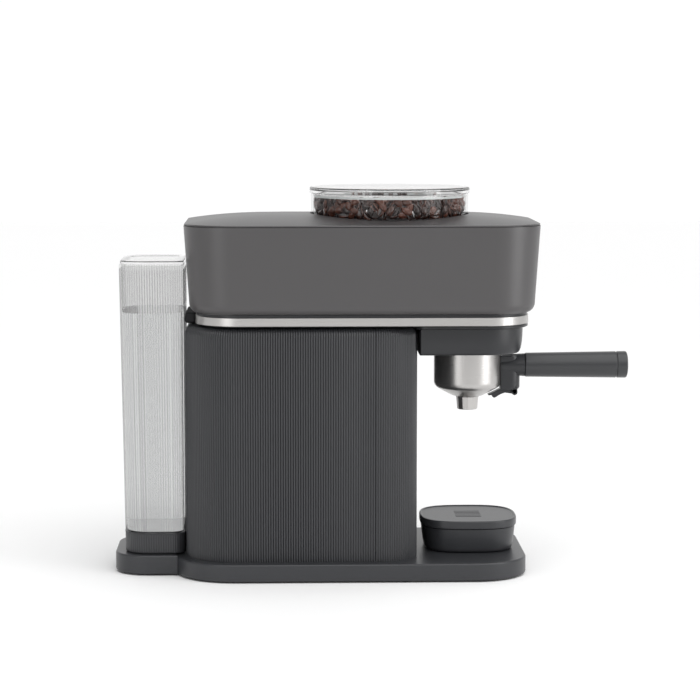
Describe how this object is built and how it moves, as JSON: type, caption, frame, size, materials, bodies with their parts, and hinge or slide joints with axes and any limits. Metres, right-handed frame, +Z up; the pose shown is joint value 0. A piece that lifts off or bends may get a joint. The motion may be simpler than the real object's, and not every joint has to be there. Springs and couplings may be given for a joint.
{
  "type": "espresso machine",
  "caption": "Compact bean-to-cup espresso machine with a lock-in portafilter, bean hopper, grinder, ribbed column, lift-off water tank and slide-out drip tray.",
  "frame": {"origin": "bottom centre of the bounding box, on the table", "axes": "+X to the front where the portafilter handle points, +Y across, +Z up"},
  "size_m": [0.4714, 0.181, 0.3496],
  "materials": {
    "charcoal_plastic": "fine matt moulded charcoal plastic",
    "column_plastic": "ribbed matt moulded charcoal plastic",
    "tray_plastic": "dark matt moulded plastic",
    "black_plastic": "black moulded plastic",
    "handle_plastic": "satin moulded dark plastic",
    "clear_plastic": "clear moulded plastic",
    "brushed_steel": "brushed stainless steel",
    "zinc_steel": "plain turned steel",
    "cast_aluminium": "cast aluminium",
    "brass": "turned brass",
    "black_rubber": "soft black rubber",
    "clear_silicone": "milky silicone",
    "white_plastic": "white moulded plastic",
    "circuit_board": "lacquered circuit board"
  },
  "bodies": {
    "machine": {"base_plate": "charcoal_plastic", "bottom_cover": "black_plastic", "rubber_feet": "black_rubber", "tank_foot": "charcoal_plastic", "tank_valve_seat": "black_rubber", "case_screws": "zinc_steel", "cord_gland": "black_rubber", "column_shell": "column_plastic", "column_front_cover": "column_plastic", "chassis_frame": "black_plastic", "support_deck": "black_plastic", "steel_band": "brushed_steel", "tank_bumper": "black_rubber", "hood_shell": "charcoal_plastic", "hood_top_cover": "charcoal_plastic", "brew_head_housing": "black_plastic", "group_head": "cast_aluminium", "shower_screen": "brushed_steel", "group_gasket": "black_rubber", "boiler": "cast_aluminium", "water_pump": "cast_aluminium", "pump_mounts": "black_rubber", "flow_meter": "white_plastic", "suction_hose": "clear_silicone", "pump_hose": "clear_silicone", "brew_pipe": "clear_silicone", "release_valve": "brass", "control_board": "circuit_board", "button_panel": "black_plastic", "grinder_motor": "cast_aluminium", "grinder_housing": "black_plastic", "ring_burr": "zinc_steel", "grounds_chute": "black_plastic", "hopper_bowl": "clear_plastic", "hopper_floor": "clear_plastic"},
    "hopper_lid": {"hopper_lid": "clear_plastic", "hopper_lid_seal": "clear_silicone"},
    "grinder_rotor": {"cone_burr": "zinc_steel", "grinder_shaft": "zinc_steel"},
    "power_button": {"power_button": "white_plastic"},
    "single_button": {"single_button": "white_plastic"},
    "double_button": {"double_button": "white_plastic"},
    "tank": {"tank_body": "clear_plastic", "tank_base_cap": "charcoal_plastic", "tank_lid_pin": "zinc_steel"},
    "tank_lid": {"tank_lid": "clear_plastic"},
    "tank_valve": {"tank_valve": "black_rubber"},
    "bayonet_ring": {"bayonet_ring": "cast_aluminium"},
    "portafilter": {"portafilter_bowl": "brushed_steel", "filter_basket": "brushed_steel", "basket_clip": "brushed_steel", "pouring_spout": "brushed_steel", "handle_bracket": "black_plastic", "handle_grip": "handle_plastic", "handle_cap": "handle_plastic", "handle_bolt": "zinc_steel", "latch_pin": "zinc_steel"},
    "latch_lever": {"latch_lever": "black_plastic"},
    "drip_tray": {"drip_tray": "tray_plastic"},
    "cup_stand": {"cup_stand_cover": "tray_plastic"}
  },
  "joints": [
    {"name": "hopper_lid_lift", "type": "slide", "parent": "machine", "child": "hopper_lid", "axis": [0, 0, 1], "range_m": [0, 0.08]},
    {"name": "grinder_spin", "type": "hinge", "parent": "machine", "child": "grinder_rotor", "pos_m": [0.0154, 0, 0.284], "axis": [0, 0, 1], "continuous": true},
    {"name": "power_button_press", "type": "slide", "parent": "machine", "child": "power_button", "axis": [-1, 0, 0], "range_m": [0, 0.001], "stiffness_N_per_m": 900, "springref_m": -0.0006},
    {"name": "single_button_press", "type": "slide", "parent": "machine", "child": "single_button", "axis": [-1, 0, 0], "range_m": [0, 0.001], "stiffness_N_per_m": 900, "springref_m": -0.0006},
    {"name": "double_button_press", "type": "slide", "parent": "machine", "child": "double_button", "axis": [-1, 0, 0], "range_m": [0, 0.001], "stiffness_N_per_m": 900, "springref_m": -0.0006},
    {"name": "tank_lift", "type": "slide", "parent": "machine", "child": "tank", "axis": [0, 0, 1], "range_m": [0, 0.31]},
    {"name": "tank_lid_hinge", "type": "hinge", "parent": "tank", "child": "tank_lid", "pos_m": [-0.2281, 0, 0.2826], "axis": [0, -1, 0], "range_deg": [0, 100]},
    {"name": "tank_valve_lift", "type": "slide", "parent": "tank", "child": "tank_valve", "axis": [0, 0, 1], "range_m": [0, 0.002], "stiffness_N_per_m": 150, "springref_m": -0.003},
    {"name": "portafilter_turn", "type": "hinge", "parent": "machine", "child": "bayonet_ring", "pos_m": [0.0876, 0, 0.204], "axis": [0, 0, 1], "range_deg": [-45, 0]},
    {"name": "portafilter_drop", "type": "slide", "parent": "bayonet_ring", "child": "portafilter", "axis": [0, 0, -1], "range_m": [0, 0.035]},
    {"name": "latch_press", "type": "hinge", "parent": "portafilter", "child": "latch_lever", "pos_m": [0.1306, 0, 0.1606], "axis": [0, -1, 0], "range_deg": [0, 35], "stiffness_Nm_per_rad": 0.02, "springref_deg": -11.46},
    {"name": "tray_slide", "type": "slide", "parent": "machine", "child": "drip_tray", "axis": [1, 0, 0], "range_m": [0, 0.12]},
    {"name": "cup_stand_lift", "type": "slide", "parent": "drip_tray", "child": "cup_stand", "axis": [0, 0, 1], "range_m": [0, 0.03]}
  ]
}
